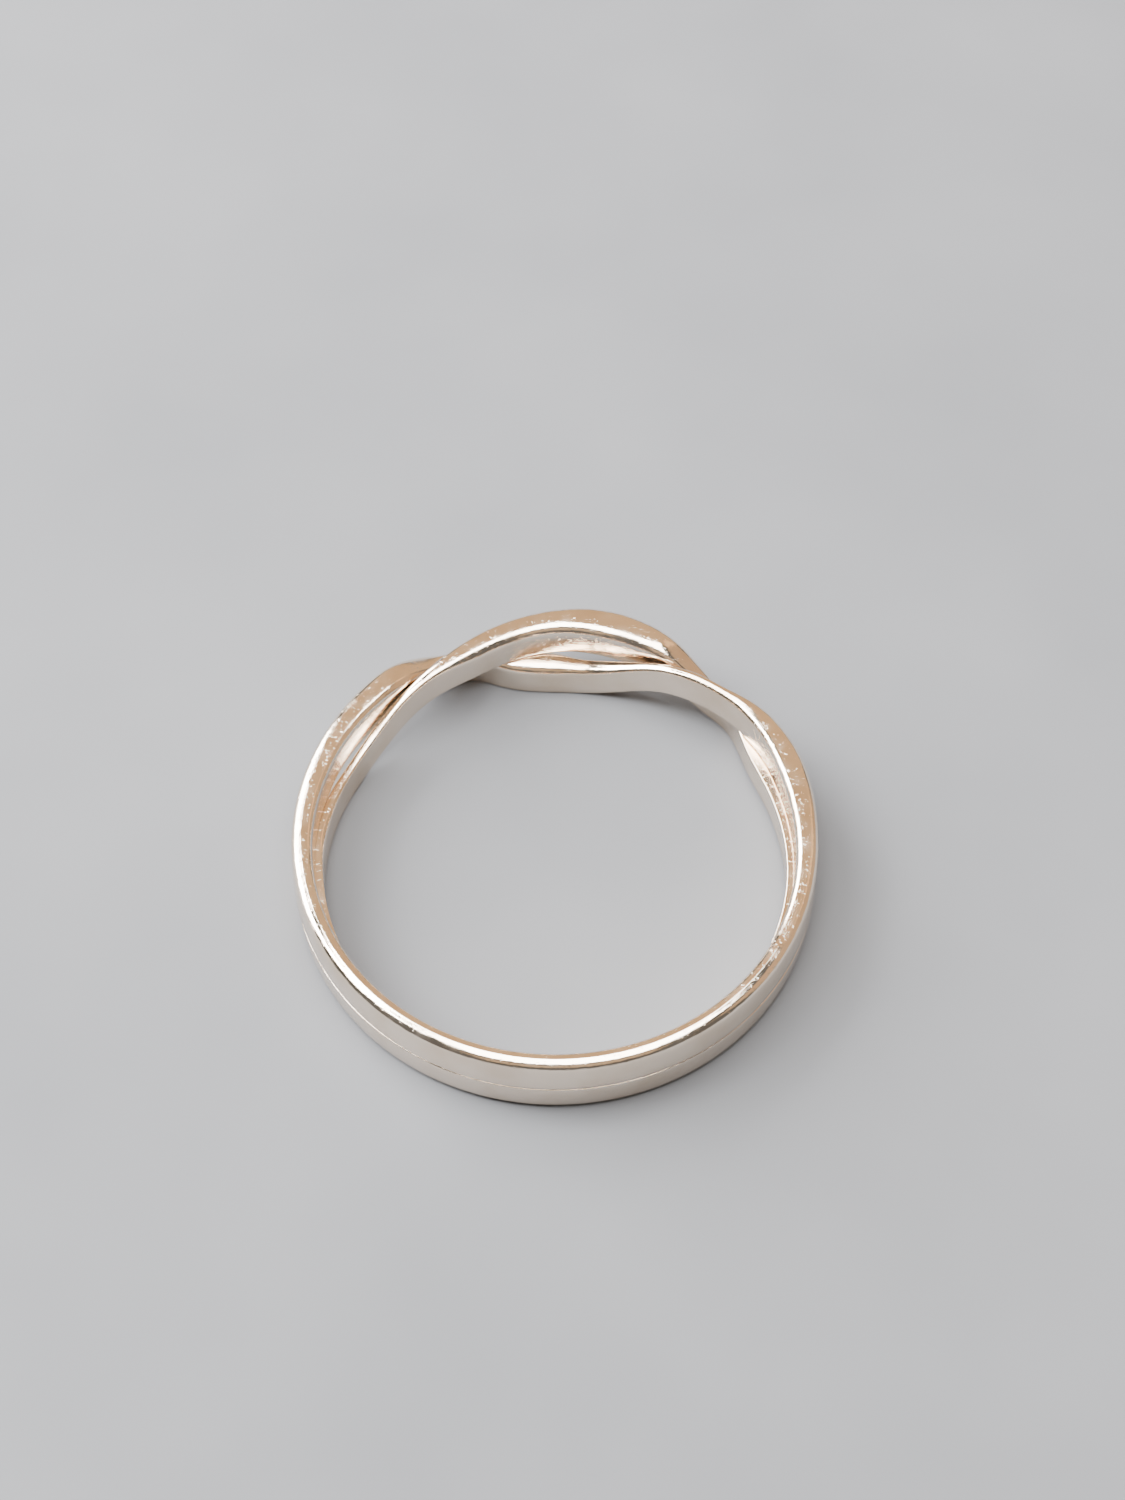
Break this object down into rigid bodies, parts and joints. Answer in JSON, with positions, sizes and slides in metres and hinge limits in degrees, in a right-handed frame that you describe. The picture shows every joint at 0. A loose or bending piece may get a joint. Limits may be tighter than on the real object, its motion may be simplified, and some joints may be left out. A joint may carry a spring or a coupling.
{
  "type": "two-band interlocked puzzle ring",
  "caption": "Slim polished finger ring of linked bands that lie as one ring, cross at a plaited head and swing apart.",
  "frame": {"origin": "on the ring's axis, in the plane the ring lies on", "axes": "+Z along the finger axis, away from the surface it lies on; +Y towards the plaited head; +X to the right seen from the shank"},
  "size_m": [0.0214, 0.0224, 0.0032],
  "materials": {
    "polished_silver": "polished",
    "polished_silver_lower": "polished"
  },
  "bodies": {
    "lower_band": {"lower_band": "polished_silver_lower"},
    "upper_band": {"upper_band": "polished_silver"}
  },
  "joints": [
    {"name": "band_swing", "type": "hinge", "parent": "lower_band", "child": "upper_band", "pos_m": [0.0002, 0.0088, 0.0016], "axis": [0, 0, -1], "range_deg": [0, 120]}
  ]
}
